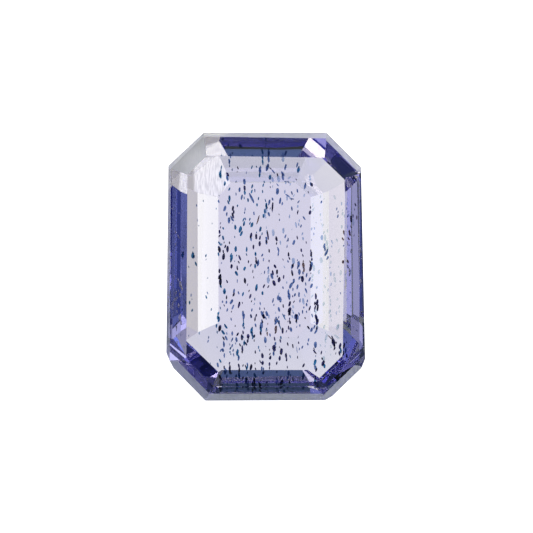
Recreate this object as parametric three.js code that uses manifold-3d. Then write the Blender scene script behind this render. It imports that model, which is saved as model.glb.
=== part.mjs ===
// A step-cut iolite gemstone, in millimetres, resting on its culet with the table up.
// +Y runs along the stone and +Z is up. The origin is under the middle of the stone, on the surface it rests on.
import * as THREE from "three";
import { mergeVertices } from "three/addons/utils/BufferGeometryUtils.js";
import Module from "manifold-3d";

// Heights of the stone's levels
const DEPTH = 3.11;
const CROWN_HEIGHT = 0.75;
const GIRDLE_THICKNESS = 0.2;
const GIRDLE_TOP = DEPTH - CROWN_HEIGHT;
const GIRDLE_FOOT = GIRDLE_TOP - GIRDLE_THICKNESS;

// The block that the stone is ground from, and the grinding block, both well over the stone's size
const ROUGH_SIZE = 16;
const GRINDER_SIZE = 40;

// The eight sides, by the compass, with the direction that each faces in degrees from +X.
// Every distance is from the stone's axis to a side's line. The stone was cut by hand, so opposite
// sides differ a little, and some facets are turned a degree or more from their side.
// margin is the narrow row round the crown. lowerSlope is that of the row beside the culet, which
// ends at breakAt. The rows of the long sides go on at middleSlope and end in a steep row under the girdle.
const SIDES = {
  east: {
    faces: 0, girdle: 4.02, table: 3.225, culet: 1.87, marginWidth: 0.16, marginSlope: 52,
    lowerSlope: 31.8, breakAt: 2.62, middleSlope: 36, upperSlope: 61,
    girdleTurn: 1.4, marginTurn: -0.4, crownTurn: -0.7,
  },
  west: {
    faces: 180, girdle: 4.0, table: 3.19, culet: 1.91, marginWidth: 0.125, marginSlope: 50,
    lowerSlope: 32, breakAt: 2.76, middleSlope: 36, upperSlope: 62,
    girdleTurn: -0.8, marginTurn: -0.5, crownTurn: -0.5,
  },
  north: {
    faces: 90, girdle: 5.595, table: 4.81, culet: 3.26, marginWidth: 0.115, marginSlope: 55,
    lowerSlope: 30.3, breakAt: 5.0, marginTurn: -0.9, crownTurn: -0.9,
  },
  south: {
    faces: -90, girdle: 5.655, table: 4.85, culet: 3.29, marginWidth: 0.395, marginSlope: 45,
    lowerSlope: 32.5, breakAt: 4.545, girdleTurn: 0.35,
  },
  northeast: {
    faces: 45, girdle: 5.7, table: 5.09, culet: 3.19, marginWidth: 0.145, marginSlope: 58,
    lowerSlope: 31.2, breakAt: 4.79, girdleTurn: -1,
  },
  northwest: {
    faces: 135, girdle: 5.77, table: 5.11, culet: 3.165, marginWidth: 0.09, marginSlope: 56,
    lowerSlope: 32.6, breakAt: 4.82, girdleTurn: -1.5, lowerTurn: 6,
  },
  southeast: {
    faces: -45, girdle: 5.825, table: 4.87, culet: 3.22, marginWidth: 0.35, marginSlope: 43,
    lowerSlope: 32.8, breakAt: 5.0,
  },
  southwest: {
    faces: -135, girdle: 5.675, table: 4.85, culet: 3.24, marginWidth: 0.41, marginSlope: 45,
    lowerSlope: 32.8, breakAt: 4.62, girdleTurn: -1.5, marginTurn: -2, crownTurn: -2,
  },
};

// Small upright facets where the girdle's corners were knocked back
const CORNER_NICKS = [
  { faces: 204.7, distance: 5.2 },
  { faces: -24.1, distance: 5.36 },
  { faces: -62.3, distance: 6.13 },
];

const UPRIGHT = 90;

const wasm = await Module();
wasm.setup();

const radians = THREE.MathUtils.degToRad;
const degrees = THREE.MathUtils.radToDeg;

function slopeBetween(run, rise) {
  return degrees(Math.atan2(rise, run));
}

function rise(run, slope) {
  return run * Math.tan(radians(slope));
}

// A facet is a plane through the point at `distance` towards `faces`, at `height`. It slopes down
// and outwards on the crown (up is 1), and down and inwards on the pavilion (up is -1).
function facet(faces, distance, height, slope, up, turn = 0) {
  const towards = radians(faces);
  const turned = radians(faces + turn);
  const outward = Math.sin(radians(slope));
  return {
    point: new THREE.Vector3(distance * Math.cos(towards), distance * Math.sin(towards), height),
    normal: new THREE.Vector3(
      outward * Math.cos(turned),
      outward * Math.sin(turned),
      up * Math.cos(radians(slope)),
    ).normalize(),
  };
}

function girdleFacet(side) {
  return facet(side.faces, side.girdle, GIRDLE_TOP, UPRIGHT, 1, side.girdleTurn);
}

function crownFacets(side) {
  const marginRise = rise(side.marginWidth, side.marginSlope);
  const mainRun = side.girdle - side.marginWidth - side.table;
  const mainSlope = slopeBetween(mainRun, CROWN_HEIGHT - marginRise);
  return [
    facet(side.faces, side.girdle, GIRDLE_TOP, side.marginSlope, 1, side.marginTurn),
    facet(side.faces, side.table, DEPTH, mainSlope, 1, side.crownTurn),
  ];
}

function pavilionFacets(side) {
  const breakHeight = rise(side.breakAt - side.culet, side.lowerSlope);
  const lower = facet(side.faces, side.culet, 0, side.lowerSlope, -1, side.lowerTurn);
  if (side.middleSlope) {
    return [
      lower,
      facet(side.faces, side.breakAt, breakHeight, side.middleSlope, -1),
      facet(side.faces, side.girdle, GIRDLE_FOOT, side.upperSlope, -1, side.girdleTurn),
    ];
  }
  const upperSlope = slopeBetween(side.girdle - side.breakAt, GIRDLE_FOOT - breakHeight);
  return [lower, facet(side.faces, side.breakAt, breakHeight, upperSlope, -1)];
}

function nickFacet(nick) {
  return facet(nick.faces, nick.distance, GIRDLE_TOP, UPRIGHT, 1);
}

function solidOf(geometry) {
  const bare = geometry.clone();
  bare.deleteAttribute("normal");
  bare.deleteAttribute("uv");
  const merged = mergeVertices(bare, 1e-4);
  return new wasm.Manifold(
    new wasm.Mesh({
      numProp: 3,
      vertProperties: new Float32Array(merged.attributes.position.array),
      triVerts: new Uint32Array(merged.index.array),
    }),
  );
}

// The grinding block lies outside the facet's plane, with one face on it.
function grinder(plane) {
  const block = new THREE.BoxGeometry(GRINDER_SIZE, GRINDER_SIZE, GRINDER_SIZE);
  block.translate(0, 0, GRINDER_SIZE / 2);
  const turn = new THREE.Quaternion().setFromUnitVectors(new THREE.Vector3(0, 0, 1), plane.normal);
  block.applyQuaternion(turn);
  block.translate(plane.point.x, plane.point.y, plane.point.z);
  return solidOf(block);
}

function geometryOf(solid) {
  const mesh = solid.getMesh();
  const geometry = new THREE.BufferGeometry();
  geometry.setAttribute("position", new THREE.BufferAttribute(new Float32Array(mesh.vertProperties), 3));
  geometry.setIndex(new THREE.BufferAttribute(new Uint32Array(mesh.triVerts), 1));
  const flat = geometry.toNonIndexed();
  flat.computeVertexNormals();
  return flat;
}

// The rough block, as deep as the stone, whose top and bottom are the table and the culet
function roughBlock() {
  const block = new THREE.BoxGeometry(ROUGH_SIZE, ROUGH_SIZE, DEPTH);
  block.translate(0, 0, DEPTH / 2);
  return solidOf(block);
}

function stoneGeometry() {
  const facets = CORNER_NICKS.map(nickFacet);
  for (const side of Object.values(SIDES)) {
    facets.push(girdleFacet(side), ...crownFacets(side), ...pavilionFacets(side));
  }
  const stone = facets.reduce((solid, plane) => solid.subtract(grinder(plane)), roughBlock());
  return geometryOf(stone);
}

// The stone's middle, seen from above, goes on the Z axis.
function centred(geometry) {
  geometry.computeBoundingBox();
  const middle = geometry.boundingBox.getCenter(new THREE.Vector3());
  geometry.translate(-middle.x, -middle.y, 0);
  return geometry;
}

const iolite = new THREE.MeshStandardMaterial({
  name: "iolite",
  color: "#9c9ad0",
  roughness: 0.05,
  metalness: 0,
  transparent: true,
  opacity: 0.6,
});

const stone = new THREE.Mesh(centred(stoneGeometry()), iolite);
stone.name = "iolite_stone";

const gem = new THREE.Group();
gem.add(stone);

export default gem;
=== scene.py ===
# A step-cut iolite gemstone on a white table that is lit from below, seen from nearly overhead.
import math
import random

import bmesh
import bpy
from mathutils import Matrix, Vector


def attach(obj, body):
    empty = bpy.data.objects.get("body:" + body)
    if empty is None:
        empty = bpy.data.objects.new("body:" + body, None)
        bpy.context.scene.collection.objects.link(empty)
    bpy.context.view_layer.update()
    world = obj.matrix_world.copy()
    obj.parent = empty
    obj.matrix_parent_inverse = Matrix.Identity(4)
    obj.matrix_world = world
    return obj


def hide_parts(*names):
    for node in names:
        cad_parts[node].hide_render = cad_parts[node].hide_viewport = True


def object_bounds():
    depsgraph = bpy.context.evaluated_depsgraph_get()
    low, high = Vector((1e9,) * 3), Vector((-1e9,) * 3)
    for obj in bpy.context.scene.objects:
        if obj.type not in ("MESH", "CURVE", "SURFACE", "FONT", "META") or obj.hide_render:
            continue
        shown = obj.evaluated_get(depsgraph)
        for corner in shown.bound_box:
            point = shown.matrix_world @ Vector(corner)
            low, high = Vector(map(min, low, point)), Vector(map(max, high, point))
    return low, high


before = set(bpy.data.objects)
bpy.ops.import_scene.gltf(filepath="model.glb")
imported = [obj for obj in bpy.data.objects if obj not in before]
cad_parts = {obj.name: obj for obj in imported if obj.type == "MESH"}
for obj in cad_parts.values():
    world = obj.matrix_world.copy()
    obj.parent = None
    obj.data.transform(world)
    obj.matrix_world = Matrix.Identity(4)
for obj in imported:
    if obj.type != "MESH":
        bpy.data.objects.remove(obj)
cad_low, cad_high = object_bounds()

# Lengths are in metres, as in the frame. North is +Y, the top of the photograph, and east is +X.
MM = 0.001
STONE = "iolite_stone"
WHITE = (1.0, 1.0, 1.0)
TABLE_HEIGHT = cad_high[2]
CROWN_HEIGHT = 0.75 * MM
GIRDLE_TOP = TABLE_HEIGHT - CROWN_HEIGHT

# The narrow row round the crown lies below this height, and each facet of the main row reaches past it.
MARGIN_TOP = 2.9 * MM

# The photograph: its frame and the stone's width in pixels, and where the stone's axis stands.
IMAGE_PIXELS = 533
STONE_WIDTH = 8.0 * MM
STONE_WIDTH_PIXELS = 195.5
METRES_PER_PIXEL = STONE_WIDTH / STONE_WIDTH_PIXELS
AXIS_RIGHT_OF_MIDDLE = -0.73
AXIS_ABOVE_MIDDLE = -1.39

CAMERA_LEAN = math.radians(14)
CAMERA_DISTANCE = 300 * MM
CAMERA_NEAR = 5 * MM
CAMERA_FAR = 10000 * MM
SENSOR = 36.0

# How the solid's edges are rounded, after its triangles are joined into flat facets
SAME_CORNER = 0.0005 * MM
SAME_FACET = math.radians(0.2)
POLISHED_EDGE = 0.012 * MM
EDGE_SEGMENTS = 2

# Which facet is which, by its normal: the most that an upright one points up, the span of the crown's
# main row, the least that a pavilion facet points down, and the least that a facet points sideways
UPRIGHT = 0.05
MAIN_ROW = (0.2, 0.97)
PAVILION = 0.2
LONG_SIDE = 0.6
CORNER = 0.3
GROUND_NORTH = 0.25
WORN_CORNER = 0.15

# How frosted the narrow row's west and southwest sides are, beside 1 for the rest of it
FROST_WEST = 0.45
FROST_SOUTHWEST = 0.7

# The gem's own optics: refractive index, and how much light each millimetre takes from red, green and
# blue. At this density the colour of the absorption stays between 0 and 1.
IOLITE_IOR = 1.543
ABSORBED_PER_MM = (0.085, 0.087, 0.020)
ABSORPTION_DENSITY = 110.0

# Colours where the surface isn't polished: frosted, between the scores of the ground corner, a darker grey
# painted as shade on its outer part, and on the worn facet
FROSTED = (0.80, 0.79, 0.80)
SCORED = (0.74, 0.74, 0.76)
SCORED_PAINTED_SHADE = (0.44, 0.43, 0.43)
DULL = (0.56, 0.56, 0.55)

# Where painted shade darkens the ground corner on the west and on the north, in millimetres from the
# stone's middle
PAINTED_SHADE_WEST = (-2.85, -3.0)
PAINTED_SHADE_NORTH = (4.45, 4.6)

# The scores: how often they repeat in a millimetre each way, their detail, and the spans of that noise
# over which they whiten the ground corner and thicken the frost
SCORES_PER_MM = (20, 2, 4)
SCORE_DETAIL = 3.0
WHITENING = (0.35, 0.6)
THICKENING = (0.3, 0.7)

# The share of light that full frost keeps out, least and most, its roughness, and its scores' height
FROST_SHARES = (0.35, 0.6)
FROST_ROUGHNESS = 0.55
FROST_HEIGHT = 0.01 * MM

# The faint unevenness of the polish
WAVES_PER_MM = 0.45
WAVE_DETAIL = 1.0
WAVE_HEIGHT = 0.003 * MM


def set_camera():
    data = bpy.data.cameras.new("camera")
    data.sensor_width = SENSOR
    data.lens = SENSOR * CAMERA_DISTANCE / (IMAGE_PIXELS * METRES_PER_PIXEL)
    data.clip_start = CAMERA_NEAR
    data.clip_end = CAMERA_FAR
    camera = bpy.data.objects.new("camera", data)
    bpy.context.scene.collection.objects.link(camera)
    back = Vector((0, math.sin(CAMERA_LEAN), math.cos(CAMERA_LEAN)))
    up = Vector((0, math.cos(CAMERA_LEAN), -math.sin(CAMERA_LEAN)))
    right = Vector((1, 0, 0))
    target = Vector((0, 0, GIRDLE_TOP))
    target -= right * AXIS_RIGHT_OF_MIDDLE * METRES_PER_PIXEL
    target -= up * AXIS_ABOVE_MIDDLE * METRES_PER_PIXEL
    camera.location = target + back * CAMERA_DISTANCE
    camera.rotation_euler = (-CAMERA_LEAN, 0, 0)
    bpy.context.scene.camera = camera


# Light turns back inside the stone many times before it gets out, so it needs many bounces.
def set_render():
    scene = bpy.context.scene
    scene.view_settings.view_transform = "Standard"
    cycles = scene.cycles
    cycles.use_denoising = True
    cycles.max_bounces = 32
    cycles.transmission_bounces = 32
    cycles.glossy_bounces = 24
    cycles.diffuse_bounces = 4
    cycles.transparent_max_bounces = 24
    cycles.sample_clamp_indirect = 6.0
    cycles.caustics_refractive = True
    cycles.caustics_reflective = True
    cycles.blur_glossy = 0.0


# The colour sockets of a Mix node share their names with its other sockets, so they go by number.
MIX_FACTOR = 0
MIX_FIRST = 6
MIX_SECOND = 7
MIX_RESULT = 2


# Adds nodes to one tree
class Nodes:
    def __init__(self, tree):
        self.tree = tree
        tree.nodes.clear()

    def add(self, kind, inputs=None, **settings):
        node = self.tree.nodes.new("ShaderNode" + kind)
        for name, value in settings.items():
            setattr(node, name, value)
        for name, value in (inputs or {}).items():
            self.feed(node, name, value)
        return node

    def feed(self, node, name, value):
        socket = node.inputs[name]
        if isinstance(value, bpy.types.NodeSocket):
            self.tree.links.new(value, socket)
        else:
            socket.default_value = value

    def math(self, operation, first, second):
        return self.add("Math", {0: first, 1: second}, operation=operation).outputs[0]

    def ramp(self, value, start, end, low=0.0, high=1.0):
        node = self.add(
            "MapRange",
            {"Value": value, "From Min": start, "From Max": end, "To Min": low, "To Max": high},
            interpolation_type="SMOOTHSTEP",
        )
        return node.outputs[0]

    def mix(self, factor, first, second):
        node = self.add("Mix", data_type="RGBA")
        self.feed(node, MIX_FACTOR, factor)
        self.feed(node, MIX_FIRST, first)
        self.feed(node, MIX_SECOND, second)
        return node.outputs[MIX_RESULT]

    def noise(self, vector, scale, detail):
        return self.add("TexNoise", {"Vector": vector, "Scale": scale, "Detail": detail}).outputs["Fac"]

    def bump(self, inputs):
        return self.add("Bump", inputs).outputs[0]

    def attribute(self, name):
        return self.add("Attribute", attribute_name=name).outputs["Fac"]

    def position_in_mm(self):
        position = self.add("TexCoord").outputs["Object"]
        return self.add("VectorMath", {0: position, "Scale": 1 / MM}, operation="SCALE").outputs[0]

    def stretch(self, vector, scales):
        return self.add("VectorMath", {0: vector, 1: scales}, operation="MULTIPLY").outputs[0]

    # The cosine of the angle between a direction and the one that is aimed at
    def facing(self, direction, towards):
        aim = Vector(towards).normalized()
        node = self.add("VectorMath", {0: direction, 1: aim}, operation="DOT_PRODUCT")
        return node.outputs["Value"]

    # What only the camera sees, in place of what any other ray finds
    def for_camera(self, plain, otherwise):
        seen = self.add("LightPath").outputs["Is Camera Ray"]
        return self.add("MixShader", {0: seen, 1: otherwise, 2: plain}).outputs[0]


def colour(red, green, blue):
    return (red, green, blue, 1.0)


def new_material(name):
    material = bpy.data.materials.new(name)
    material.use_nodes = True
    return material, Nodes(material.node_tree)


def new_piece(name, mesh, material):
    piece = bpy.data.objects.new(name, mesh)
    bpy.context.scene.collection.objects.link(piece)
    piece.data.materials.append(material)
    return piece


def mesh_from(shape, name):
    mesh = bpy.data.meshes.new(name)
    shape.to_mesh(mesh)
    shape.free()
    return mesh


def make_stone():
    shape = bmesh.new()
    shape.from_mesh(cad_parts[STONE].data)
    polish(shape)
    mark_surfaces(shape)
    piece = new_piece("iolite_gem", mesh_from(shape, "iolite_gem"), iolite_material())
    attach(piece, "root")
    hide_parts(STONE)


# Joins the triangles of each facet, and rounds every edge as polishing does
def polish(shape):
    bmesh.ops.remove_doubles(shape, verts=shape.verts, dist=SAME_CORNER)
    bmesh.ops.dissolve_limit(shape, angle_limit=SAME_FACET, verts=shape.verts, edges=shape.edges)
    bmesh.ops.bevel(
        shape,
        geom=list(shape.edges),
        offset=POLISHED_EDGE,
        offset_type="OFFSET",
        segments=EDGE_SEGMENTS,
        profile=0.5,
        affect="EDGES",
        clamp_overlap=True,
    )


# Writes on each facet how frosted, ground and worn it is, for the material to read
def mark_surfaces(shape):
    for name, amount_of in (("frost", frost_of), ("ground", ground_of), ("dull", dull_of)):
        layer = shape.faces.layers.float.new(name)
        for face in shape.faces:
            face[layer] = amount_of(face)
    for face in shape.faces:
        face.smooth = False
    bmesh.ops.triangulate(shape, faces=[face for face in shape.faces if len(face.verts) > 4])


def top_of(face):
    return max(corner.co.z for corner in face.verts)


# 1 on the girdle, on the worn facet and on most of the narrow row round the crown, which were left
# unpolished, less on that row's southwest and west sides, and 0 on its east side and elsewhere
def frost_of(face):
    normal = face.normal
    if abs(normal.z) < UPRIGHT or dull_of(face):
        return 1.0
    in_narrow_row = normal.z >= 0 and top_of(face) <= MARGIN_TOP
    if not in_narrow_row or normal.x > LONG_SIDE:
        return 0.0
    if normal.x < -LONG_SIDE:
        return FROST_WEST
    if normal.x < -CORNER and normal.y < 0:
        return FROST_SOUTHWEST
    return 1.0


# 1 on the northwest corner of the pavilion, which was ground but not polished
def ground_of(face):
    normal = face.normal
    return float(normal.z < -PAVILION and normal.x < -CORNER and normal.y > GROUND_NORTH)


# 1 on the northwest facet of the crown's main row, which is worn
def dull_of(face):
    normal = face.normal
    in_main_row = top_of(face) >= MARGIN_TOP and MAIN_ROW[0] < normal.z < MAIN_ROW[1]
    return float(in_main_row and normal.x <= -WORN_CORNER and normal.y >= WORN_CORNER)


def iolite_material():
    material, nodes = new_material("iolite")
    in_mm = nodes.position_in_mm()
    scores = nodes.noise(nodes.stretch(in_mm, SCORES_PER_MM), 1.0, SCORE_DETAIL)
    frost = nodes.attribute("frost")
    ground = nodes.attribute("ground")
    shader = nodes.add(
        "BsdfPrincipled",
        {
            "Base Color": surface_tint(nodes, in_mm, scores, frost, ground),
            "Roughness": nodes.math("ADD", nodes.math("MULTIPLY", frost, FROST_ROUGHNESS), ground),
            "IOR": IOLITE_IOR,
            "Transmission Weight": clear_share(nodes, scores, frost),
            "Normal": surface_bump(nodes, in_mm, scores, frost),
        },
    )
    kept = [1 - absorbed / (ABSORPTION_DENSITY * MM) for absorbed in ABSORBED_PER_MM]
    volume = nodes.add("VolumeAbsorption", {"Color": colour(*kept), "Density": ABSORPTION_DENSITY})
    nodes.add("OutputMaterial", {"Surface": shader.outputs[0], "Volume": volume.outputs[0]})
    return material


# White where the stone is polished, so that only the gem's inside colours the light
def surface_tint(nodes, in_mm, scores, frost, ground):
    white = colour(*WHITE)
    across, along, _ = nodes.add("SeparateXYZ", {0: in_mm}).outputs
    # Painted shade: the ground corner's outer part, on the west and on the north, is coloured a darker
    # grey.
    painted_shade = nodes.math("MAXIMUM", nodes.ramp(across, *PAINTED_SHADE_WEST), nodes.ramp(along, *PAINTED_SHADE_NORTH))
    scored = nodes.mix(nodes.ramp(scores, *WHITENING), colour(*SCORED), white)
    scored = nodes.mix(painted_shade, scored, colour(*SCORED_PAINTED_SHADE))
    tint = nodes.mix(ground, nodes.mix(frost, white, colour(*FROSTED)), scored)
    return nodes.mix(nodes.attribute("dull"), tint, colour(*DULL))


# The share of light that gets through the surface
def clear_share(nodes, scores, frost):
    kept_out = nodes.math("MULTIPLY", frost, nodes.ramp(scores, *THICKENING, *FROST_SHARES))
    return nodes.math("SUBTRACT", 1.0, kept_out)


def surface_bump(nodes, in_mm, scores, frost):
    waves = nodes.noise(in_mm, WAVES_PER_MM, WAVE_DETAIL)
    polish_bump = nodes.bump({"Height": waves, "Distance": WAVE_HEIGHT})
    frost_height = nodes.math("MULTIPLY", frost, scores)
    return nodes.bump({"Height": frost_height, "Distance": FROST_HEIGHT, "Normal": polish_bump})


# The grains of other minerals inside the stone. Each finish: two colours that the light through a grain
# varies between, its refractive index beside the stone's, and its roughness.
FINISHES = {
    "dark": ((0.010, 0.010, 0.040), (0.045, 0.045, 0.150), 1.0, 0.0),
    "teal": ((0.010, 0.090, 0.220), (0.040, 0.200, 0.380), 1.0, 0.0),
    "blue": ((0.060, 0.120, 0.290), (0.150, 0.240, 0.460), 1.0, 0.0),
    "pale": ((0.340, 0.460, 0.640), (0.560, 0.670, 0.810), 1.0, 0.0),
    "mist": ((0.560, 0.680, 0.720), (0.740, 0.820, 0.840), 1.0, 0.0),
    "brown": ((0.070, 0.045, 0.060), (0.220, 0.160, 0.150), 1.0, 0.0),
    "cream": ((0.940, 0.900, 0.820), (1.000, 0.980, 0.920), 1.25, 0.5),
}

# Clouds of grains, in millimetres: each cloud's span across and along the stone as seen through the
# table, its span of heights, its number of rows, the grains' mean length, and how often each finish
# comes.
CLOUDS = [
    # Middle, from north to south
    ((-1.95, 0.0), (1.3, 5.2), (0.5, 2.8), 60, 0.20, {"teal": 6, "dark": 3, "blue": 4}),
    ((0.0, 1.9), (1.3, 5.2), (0.5, 2.7), 56, 0.21, {"blue": 5, "pale": 4, "dark": 3, "teal": 1}),
    ((-1.95, 0.0), (-2.4, 1.3), (0.4, 2.8), 67, 0.19, {"dark": 5, "teal": 4, "blue": 3}),
    ((0.0, 1.9), (-2.4, 1.3), (0.4, 2.8), 72, 0.20, {"dark": 5, "blue": 5, "pale": 1, "brown": 1}),
    ((-2.0, 1.0), (-4.8, -2.4), (0.5, 2.8), 92, 0.19, {"dark": 6, "blue": 3, "teal": 2}),
    ((1.0, 1.9), (-4.8, -2.4), (0.5, 2.8), 12, 0.16, {"dark": 4, "blue": 3, "teal": 3}),
    # Southeast, the first in a line along the pavilion's edge
    ((1.98, 2.12), (-4.9, -0.9), (0.9, 2.7), 16, 0.20, {"dark": 5, "blue": 4, "teal": 2}),
    ((2.2, 3.1), (-4.8, -2.2), (1.5, 2.8), 20, 0.15, {"dark": 3, "teal": 4, "mist": 6}),
    # East, dim
    ((1.9, 3.2), (-2.4, 3.2), (1.2, 2.6), 52, 0.17, {"mist": 8, "pale": 3, "blue": 1}),
    # West, few
    ((-3.2, -1.9), (-4.6, 3.2), (1.5, 2.8), 26, 0.13, {"teal": 5, "blue": 3, "dark": 1}),
    # Under the crown on the west, pale and soft
    ((-3.85, -3.3), (-2.4, -0.2), (2.25, 2.5), 18, 0.24, {"cream": 1}),
    ((-3.8, -3.3), (0.8, 3.0), (2.25, 2.5), 6, 0.2, {"cream": 1}),
    # Under the crown on the east
    ((3.2, 3.8), (1.4, 3.2), (2.0, 2.5), 9, 0.22, {"mist": 3, "brown": 1, "dark": 1}),
    # Under the crown on the south
    ((-1.9, 1.7), (-5.0, -4.3), (1.7, 2.6), 22, 0.13, {"teal": 5, "blue": 4, "dark": 1}),
]
CHANCE_SEED = 11

# A grain's width and thickness beside its length, how they and its outline vary, and its distance from
# every facet
GRAIN_WIDTH = 0.38
GRAIN_THICKNESS = 0.16
WIDTH_SPREAD = (0.75, 1.25)
OUTLINE_SPREAD = (0.85, 1.15)
GRAIN_CLEARANCE = 0.06 * MM

# How the grains' lengths vary, and their least and greatest, in millimetres
LENGTH_SPREAD = 0.4
GRAIN_LENGTHS = (0.08, 0.34)

# How far a grain turns from its row and tips out of the level, in degrees
TURN_SPREAD = 10
TIP_SPREAD = 15

# Grains stand in short rows that run south: the odds of 1, 2, 3 or 4 in a row, how far the row sways
# sideways for each millimetre, the steps between grains, how they stray, in millimetres, and how often
# the next one has a finish of its own. Each row stands at the best of a few places.
ROW_SIZES = (1, 2, 3, 4)
ROW_ODDS = (9, 5, 2, 1)
ROW_SWAY = 0.15
ROW_STEP = (0.13, 0.27)
STRAY_SIDEWAYS = 0.025
STRAY_UP = 0.05
FINISH_CHANGES = 0.25
PLACES_TRIED = 4

# How the two colours of a finish are spread over the grains
MOTTLES_PER_MM = 6.0
MOTTLE_DETAIL = 2.0
MOTTLE_SPAN = (0.35, 0.65)

# A grain fades out in light that has turned back inside the stone this many times.
FADED_AFTER = 1.0

# Single grains that stand out. Each has its pixel across and down in the photograph, its height and
# length in millimetres, its lean in degrees, its width beside a scattered grain's, and its finish.
BLACK_CLUSTER = [
    ((333.6, 342.5), 2.6, 0.42, 6, 0.9, "dark"),
    ((332.4, 337.5), 2.6, 0.22, 14, 0.9, "dark"),
    ((334.6, 347.0), 2.6, 0.20, -4, 0.9, "dark"),
    ((340.2, 346.0), 2.5, 0.30, -4, 0.9, "dark"),
    ((339.6, 353.5), 2.5, 0.24, 0, 0.9, "dark"),
    ((343.6, 356.5), 2.5, 0.26, 30, 0.9, "dark"),
    ((330.6, 338.0), 2.6, 0.36, 18, 0.4, "brown"),
]
HAIR_BESIDE_CLUSTER = ((331.2, 352.0), 2.6, 1.00, 3, 0.10, "brown")
GREY_GREEN_GRAIN = ((343.0, 262.0), 2.3, 0.26, 5, 1.0, "brown")
NEEDLES = [
    ((267.8, 235.0), 2.0, 0.58, -4, 0.35, "dark"),
    ((258.0, 220.0), 1.8, 0.50, -5, 0.35, "brown"),
    ((279.0, 323.8), 2.0, 0.74, 10, 0.30, "teal"),
    ((284.0, 316.8), 1.6, 0.40, 26, 0.50, "teal"),
    ((272.5, 207.0), 1.7, 0.52, 5, 0.50, "dark"),
    ((251.8, 198.5), 1.7, 0.56, 2, 0.45, "blue"),
    ((297.0, 350.0), 1.5, 0.34, 8, 0.30, "blue"),
]
DIAGONAL_ROW_IN_NORTH = [
    ((267.2, 166.7), 2.4, 0.15, 62, 0.9, "dark"),
    ((270.5, 169.0), 2.4, 0.16, 50, 0.9, "dark"),
    ((273.3, 172.0), 2.4, 0.24, 20, 0.9, "blue"),
    ((277.4, 175.2), 2.4, 0.18, 5, 0.9, "dark"),
]
DIM_BENT_ROW_IN_NORTHEAST = [
    ((284.8, 191.8), 1.0, 0.20, 10, 1.0, "pale"),
    ((287.4, 195.4), 1.0, 0.22, 40, 1.0, "blue"),
    ((289.8, 197.8), 1.0, 0.20, 50, 1.0, "pale"),
    ((292.4, 199.0), 1.0, 0.18, 80, 1.0, "blue"),
    ((293.8, 195.6), 1.0, 0.18, -10, 1.0, "pale"),
    ((285.4, 181.8), 1.2, 0.16, 60, 1.0, "blue"),
    ((288.4, 182.2), 1.2, 0.16, 40, 1.0, "blue"),
    ((293.6, 182.0), 1.2, 0.12, 80, 0.7, "pale"),
]
MARKS = [
    *BLACK_CLUSTER,
    HAIR_BESIDE_CLUSTER,
    GREY_GREEN_GRAIN,
    *NEEDLES,
    *DIAGONAL_ROW_IN_NORTH,
    *DIM_BENT_ROW_IN_NORTHEAST,
]


# Tells whether a point lies inside the stone, at least `clearance` from every facet
class Stone:
    def __init__(self):
        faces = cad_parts[STONE].data.polygons
        self.facets = [(face.normal.copy(), face.normal.dot(face.center)) for face in faces]

    def holds(self, point, clearance):
        return all(normal.dot(point) < distance - clearance for normal, distance in self.facets)


# The place inside the stone that the camera sees through a point of the table
def seen_through_table(across, along, height):
    slope = math.tan(math.asin(math.sin(CAMERA_LEAN) / IOLITE_IOR))
    below = TABLE_HEIGHT - height * MM
    return Vector((across * MM, along * MM - below * slope, height * MM))


# The place across and along the table, in millimetres, that a pixel of the photograph shows
def on_table(pixel):
    right, down = pixel
    across = (right - IMAGE_PIXELS / 2 - AXIS_RIGHT_OF_MIDDLE) * METRES_PER_PIXEL
    up = (IMAGE_PIXELS / 2 - AXIS_ABOVE_MIDDLE - down) * METRES_PER_PIXEL
    along = up / math.cos(CAMERA_LEAN) + CROWN_HEIGHT * math.tan(CAMERA_LEAN)
    return across / MM, along / MM


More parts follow.
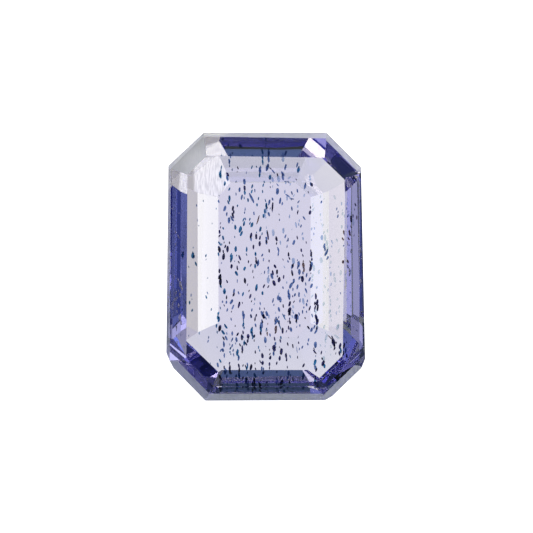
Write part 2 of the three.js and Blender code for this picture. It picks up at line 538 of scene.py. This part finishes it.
# Gathers the grains of each finish into one mesh
class Grains:
    def __init__(self, stone, chance):
        self.stone = stone
        self.chance = chance
        self.meshes = {finish: bmesh.new() for finish in FINISHES}

    def between(self, span):
        return self.chance.uniform(*span)

    def finish_from(self, shares):
        return self.chance.choices(list(shares), list(shares.values()))[0]

    def length_about(self, mean):
        length = mean * math.exp(self.chance.gauss(0, LENGTH_SPREAD))
        return min(max(length, GRAIN_LENGTHS[0]), GRAIN_LENGTHS[1])

    # A small flattened lump with its long way near the stone's length
    def put(self, finish, place, length, lean, width_share=1.0):
        if not self.stone.holds(place, GRAIN_CLEARANCE + length * MM / 2):
            return
        width = length * GRAIN_WIDTH * width_share * self.between(WIDTH_SPREAD)
        size = Vector((width, length, length * GRAIN_THICKNESS * width_share)) * MM / 2
        turn = Matrix.Rotation(math.radians(lean + self.chance.gauss(0, TURN_SPREAD)), 4, "Z")
        tip = Matrix.Rotation(math.radians(self.chance.gauss(0, TIP_SPREAD)), 4, "X")
        lump = bmesh.ops.create_icosphere(self.meshes[finish], subdivisions=1, radius=1.0)
        for vertex in lump["verts"]:
            uneven = self.between(OUTLINE_SPREAD)
            scaled = Vector(a * b for a, b in zip(vertex.co, size)) * uneven
            vertex.co = place + turn @ tip @ scaled

    def put_row(self, x, y, height, mean, shares):
        z = self.between(height)
        finish = self.finish_from(shares)
        sway = self.chance.gauss(0, ROW_SWAY)
        for _ in range(self.chance.choices(ROW_SIZES, ROW_ODDS)[0]):
            length = self.length_about(mean)
            self.put(finish, seen_through_table(x, y, z), length, -math.degrees(sway))
            if self.chance.random() < FINISH_CHANGES:
                finish = self.finish_from(shares)
            step = self.between(ROW_STEP)
            x += step * sway + self.chance.gauss(0, STRAY_SIDEWAYS)
            y -= step
            z = min(max(z + self.chance.gauss(0, STRAY_UP), height[0]), height[1])

    # Of a few places by chance, the one that lies farthest from the rows before it
    def apart(self, across, along, taken):
        places = [(self.between(across), self.between(along)) for _ in range(PLACES_TRIED)]
        best = max(places, key=lambda place: min((math.dist(place, other) for other in taken), default=0))
        taken.append(best)
        return best

    def scatter(self, cloud):
        across, along, height, rows, mean, shares = cloud
        taken = []
        for _ in range(rows):
            x, y = self.apart(across, along, taken)
            self.put_row(x, y, height, mean, shares)

    def make_pieces(self):
        for finish, shape in self.meshes.items():
            name = f"inclusions_{finish}"
            piece = new_piece(name, mesh_from(shape, name), inclusion_material(name, *FINISHES[finish]))
            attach(piece, "root")


# A grain takes colours out of the light that passes through it.
def inclusion_material(name, first, second, index, roughness):
    material, nodes = new_material(name)
    mottles = nodes.noise(nodes.position_in_mm(), MOTTLES_PER_MM, MOTTLE_DETAIL)
    tint = nodes.mix(nodes.ramp(mottles, *MOTTLE_SPAN), colour(*first), colour(*second))
    turns = nodes.add("LightPath").outputs["Glossy Depth"]
    faded = nodes.mix(nodes.ramp(turns, 0.0, FADED_AFTER), tint, colour(*WHITE))
    shader = nodes.add(
        "BsdfPrincipled",
        {"Base Color": faded, "Roughness": roughness, "IOR": index, "Transmission Weight": 1.0},
    )
    nodes.add("OutputMaterial", {"Surface": shader.outputs[0]})
    return material


def make_inclusions():
    grains = Grains(Stone(), random.Random(CHANCE_SEED))
    for cloud in CLOUDS:
        grains.scatter(cloud)
    for pixel, height, length, lean, width_share, finish in MARKS:
        grains.put(finish, seen_through_table(*on_table(pixel), height), length, lean, width_share)
    grains.make_pieces()


# The table that the stone lies on, and the brightness of the plain white that the camera sees there
FLOOR_GAP = 0.05 * MM
FLOOR_SIZE = 3000 * MM
TABLE_BRIGHTNESS = 1.5


def make_floor():
    mesh = bpy.data.meshes.new("floor")
    half = FLOOR_SIZE / 2
    corners = [(-half, -half), (half, -half), (half, half), (-half, half)]
    mesh.from_pydata([(x, y, -FLOOR_GAP) for x, y in corners], [], [(0, 1, 2, 3)])
    floor = new_piece("floor", mesh, floor_material())


# The camera sees a plain white table. Light passes through it from the panel and the lamps below.
def floor_material():
    material, nodes = new_material("floor")
    plain = nodes.add("Emission", {"Color": colour(*WHITE), "Strength": TABLE_BRIGHTNESS})
    clear = nodes.add("BsdfTransparent")
    both = nodes.for_camera(plain.outputs[0], clear.outputs[0])
    nodes.add("OutputMaterial", {"Surface": both})
    return material


# The studio: a dim room, a glowing panel under the table, and a softbox overhead on the west side. Each
# edge is a span of the direction's x, y or z, from where the light is gone to where it is full.
ROOM = (0.06, 0.08, 0.08)
PANEL = (1.0, 0.97, 0.95)
PANEL_EDGE = (-0.1, -0.3)
SOFTBOX = (0.58, 0.56, 0.36)
SOFTBOX_EAST_EDGE = (-0.085, -0.105)
SOFTBOX_NORTH_EDGE = (-0.10, -0.18)
SOFTBOX_SOUTH_EDGE = (-0.55, -0.45)
SOFTBOX_LOWER_EDGE = (0.0, 0.1)

# The other tints of the lamps
ROSY = (1.0, 0.97, 0.95)
CREAM = (1.0, 0.99, 0.86)
YELLOW = (1.0, 0.97, 0.55)
GOLD = (1.0, 0.95, 0.35)
SKY = (0.75, 0.85, 1.0)
BLUE = (0.5, 0.6, 1.0)
VIOLET = (0.3, 0.4, 1.0)
TEAL = (0.65, 1.0, 0.9)
OLIVE = (0.85, 1.0, 0.1)

# A cut stone shows each small part of what is round it in a facet of its own, so the lamps stand for
# what the stone's facets pick out. Each lies in one direction: x, y, z, the angles from there at
# which it is full and gone, in degrees, its brightness and its tint. A later one covers an earlier one,
# and one with no brightness is a black patch.
LAMPS = [
    # Below, what each row of the pavilion shows through the table
    ((0.00, -0.24, -0.97), 12, 16, 0.87, ROSY),
    ((0.37, -0.24, -0.90), 3, 5, 1.3, CREAM),
    ((0.50, -0.24, -0.83), 3, 5, 0.7, ROSY),
    ((-0.39, -0.24, -0.89), 3, 5, 1.12, CREAM),
    ((-0.50, -0.24, -0.83), 3, 5, 0.95, ROSY),
    ((0.00, -0.72, -0.70), 10, 14, 0.88, WHITE),
    ((-0.32, -0.55, -0.77), 6, 9, 0.92, WHITE),
    ((0.00, 0.08, -1.00), 4, 7, 0.88, WHITE),
    ((0.24, 0.00, -0.97), 4, 7, 0.82, WHITE),
    ((-0.24, 0.00, -0.97), 4, 7, 0.88, WHITE),
    # Near the stone's own level, west and east
    ((-0.97, -0.24, -0.07), 4, 8, 1.6, YELLOW),
    ((0.97, -0.24, -0.07), 4, 8, 1.2, GOLD),
    ((-0.95, -0.24, 0.18), 4, 8, 2.4, BLUE),
    ((0.95, -0.24, 0.18), 4, 8, 1.1, BLUE),
    ((0.94, -0.25, -0.25), 4, 8, 0.25, ROSY),
    # West side, above
    ((-0.88, -0.24, 0.40), 6, 10, 0.66, WHITE),
    ((-0.74, -0.25, 0.62), 3, 6, 1.7, SKY),
    ((-0.61, -0.24, 0.76), 2, 4, 1.35, YELLOW),
    ((-0.56, -0.30, 0.77), 2, 4, 0.0, WHITE),
    ((-0.37, -0.29, 0.88), 3, 6, 1.15, YELLOW),
    # Overhead
    ((-0.12, -0.24, 0.96), 1, 2.5, 0.9, WHITE),
    ((-0.07, -0.24, 0.97), 0.8, 2, 0.26, BLUE),
    ((0.02, -0.24, 0.97), 1.5, 3, 2.0, SKY),
    ((0.12, -0.24, 0.96), 3, 4.5, 0.25, VIOLET),
    ((0.26, 0.02, 0.97), 6, 11, 0.11, BLUE),
    ((0.00, 0.15, 0.99), 3, 7, 0.35, TEAL),
    ((0.00, 0.34, 0.94), 3, 6, 0.28, TEAL),
    # East side, most of them above
    ((0.41, -0.27, 0.87), 3, 6, 0.15, SKY),
    ((0.56, -0.27, 0.79), 3, 5, 0.9, BLUE),
    ((0.87, -0.26, 0.41), 10, 18, 0.2, VIOLET),
    ((0.59, 0.24, 0.77), 4, 8, 0.9, WHITE),
    ((0.77, 0.60, 0.21), 5, 11, 0.68, SKY),
    ((0.75, 0.64, -0.15), 6, 14, 0.68, CREAM),
    # North side and northwest
    ((0.00, 0.92, -0.38), 17, 21, 0.9, OLIVE),
    ((0.00, 0.99, 0.10), 22, 35, 0.15, TEAL),
    ((0.00, 0.76, 0.65), 4, 8, 0.5, WHITE),
    ((0.01, 0.62, 0.78), 4, 8, 1.5, ROSY),
    ((0.23, 0.66, 0.72), 5, 9, 1.6, CREAM),
    ((-0.31, 0.22, 0.92), 4, 8, 0.5, BLUE),
    ((-0.75, 0.64, -0.14), 8, 16, 0.5, BLUE),
    ((-0.10, 0.63, -0.77), 3, 6, 1.3, BLUE),
    ((-0.61, 0.23, 0.76), 3, 6, 1.4, CREAM),
    ((-0.57, 0.33, 0.75), 2, 5, 0.8, WHITE),
    ((-0.84, 0.54, -0.01), 4, 8, 2.8, YELLOW),
    # South side
    ((0.00, -0.99, 0.15), 5, 11, 0.9, OLIVE),
    ((-0.57, -0.80, -0.19), 4, 8, 1.5, GOLD),
    ((0.00, -0.98, -0.18), 4, 8, 0.15, WHITE),
    ((-0.45, -0.39, 0.80), 4, 7, 2.4, YELLOW),
    ((-0.47, -0.63, 0.61), 4, 7, 0.6, SKY),
    ((0.32, -0.56, 0.77), 5, 8, 0.1, BLUE),
    ((0.82, -0.30, -0.45), 5, 9, 0.0, WHITE),
]

# The smooth sky that the light scattered by a dull facet finds, brighter on the north
SKY_NORTH = (1.15, 1.2, 1.25)
SKY_SOUTH = (0.42, 0.47, 0.58)
SKY_SPAN = (-0.5, 0.5)

# What the light that goes out through a rough facet finds: a wide glow from below, on the south, and a
# brighter warm one in the southwest. Each glow grows over a span of the cosine to where it is aimed.
GLOW_TOWARDS = (0.2, -0.65, -0.73)
GLOW_SPAN = (-0.4, 0.6)
GLOW = (1.5, 1.48, 1.34)
GLOW_BEHIND = (0.42, 0.46, 0.24)
WARM_GLOW_TOWARDS = (-0.55, -0.80, -0.25)
WARM_GLOW_SPAN = (0.84, 0.95)
WARM_GLOW = (12.0, 10.8, 4.6)


# What the light finds depends on its last event: leaving through a polished facet or a rough one,
# reflection on the stone's outside, or scattering. The camera sees plain white.
def set_world():
    world = bpy.data.worlds.new("studio")
    bpy.context.scene.world = world
    world.use_nodes = True
    nodes = Nodes(world.node_tree)
    direction = nodes.add("TexCoord").outputs["Generated"]
    last = nodes.add("LightPath").outputs
    light = nodes.mix(last["Is Singular Ray"], glow_light(nodes, direction), studio_light(nodes, direction))
    light = nodes.mix(last["Is Transmission Ray"], colour(*ROOM), light)
    light = nodes.mix(last["Is Diffuse Ray"], light, sky_light(nodes, direction))
    studio = nodes.add("Background", {"Color": light})
    plain = nodes.add("Background", {"Color": colour(*WHITE), "Strength": TABLE_BRIGHTNESS})
    both = nodes.for_camera(plain.outputs[0], studio.outputs[0])
    nodes.add("OutputWorld", {"Surface": both})
    # The stone shows the lamps only by way of its own facets, so they aren't sampled apart from them.
    world.cycles.sampling_method = "NONE"


def studio_light(nodes, direction):
    x, y, z = nodes.add("SeparateXYZ", {0: direction}).outputs
    light = nodes.mix(nodes.ramp(z, *PANEL_EDGE), colour(*ROOM), colour(*PANEL))
    light = nodes.mix(softbox_share(nodes, x, y, z), light, colour(*SOFTBOX))
    for towards, full, gone, brightness, tint in LAMPS:
        facing = nodes.facing(direction, towards)
        share = nodes.ramp(facing, math.cos(math.radians(gone)), math.cos(math.radians(full)))
        light = nodes.mix(share, light, colour(*[brightness * part for part in tint]))
    return light


def softbox_share(nodes, x, y, z):
    across = nodes.ramp(x, *SOFTBOX_EAST_EDGE)
    along = nodes.math("MULTIPLY", nodes.ramp(y, *SOFTBOX_NORTH_EDGE), nodes.ramp(y, *SOFTBOX_SOUTH_EDGE))
    above = nodes.ramp(z, *SOFTBOX_LOWER_EDGE)
    return nodes.math("MULTIPLY", nodes.math("MULTIPLY", across, along), above)


def glow_light(nodes, direction):
    wide = nodes.ramp(nodes.facing(direction, GLOW_TOWARDS), *GLOW_SPAN)
    glow = nodes.mix(wide, colour(*GLOW_BEHIND), colour(*GLOW))
    warm = nodes.ramp(nodes.facing(direction, WARM_GLOW_TOWARDS), *WARM_GLOW_SPAN)
    return nodes.mix(warm, glow, colour(*WARM_GLOW))


def sky_light(nodes, direction):
    _, y, _ = nodes.add("SeparateXYZ", {0: direction}).outputs
    return nodes.mix(nodes.ramp(y, *SKY_SPAN), colour(*SKY_SOUTH), colour(*SKY_NORTH))


set_camera()
set_render()
make_stone()
make_inclusions()
make_floor()
set_world()
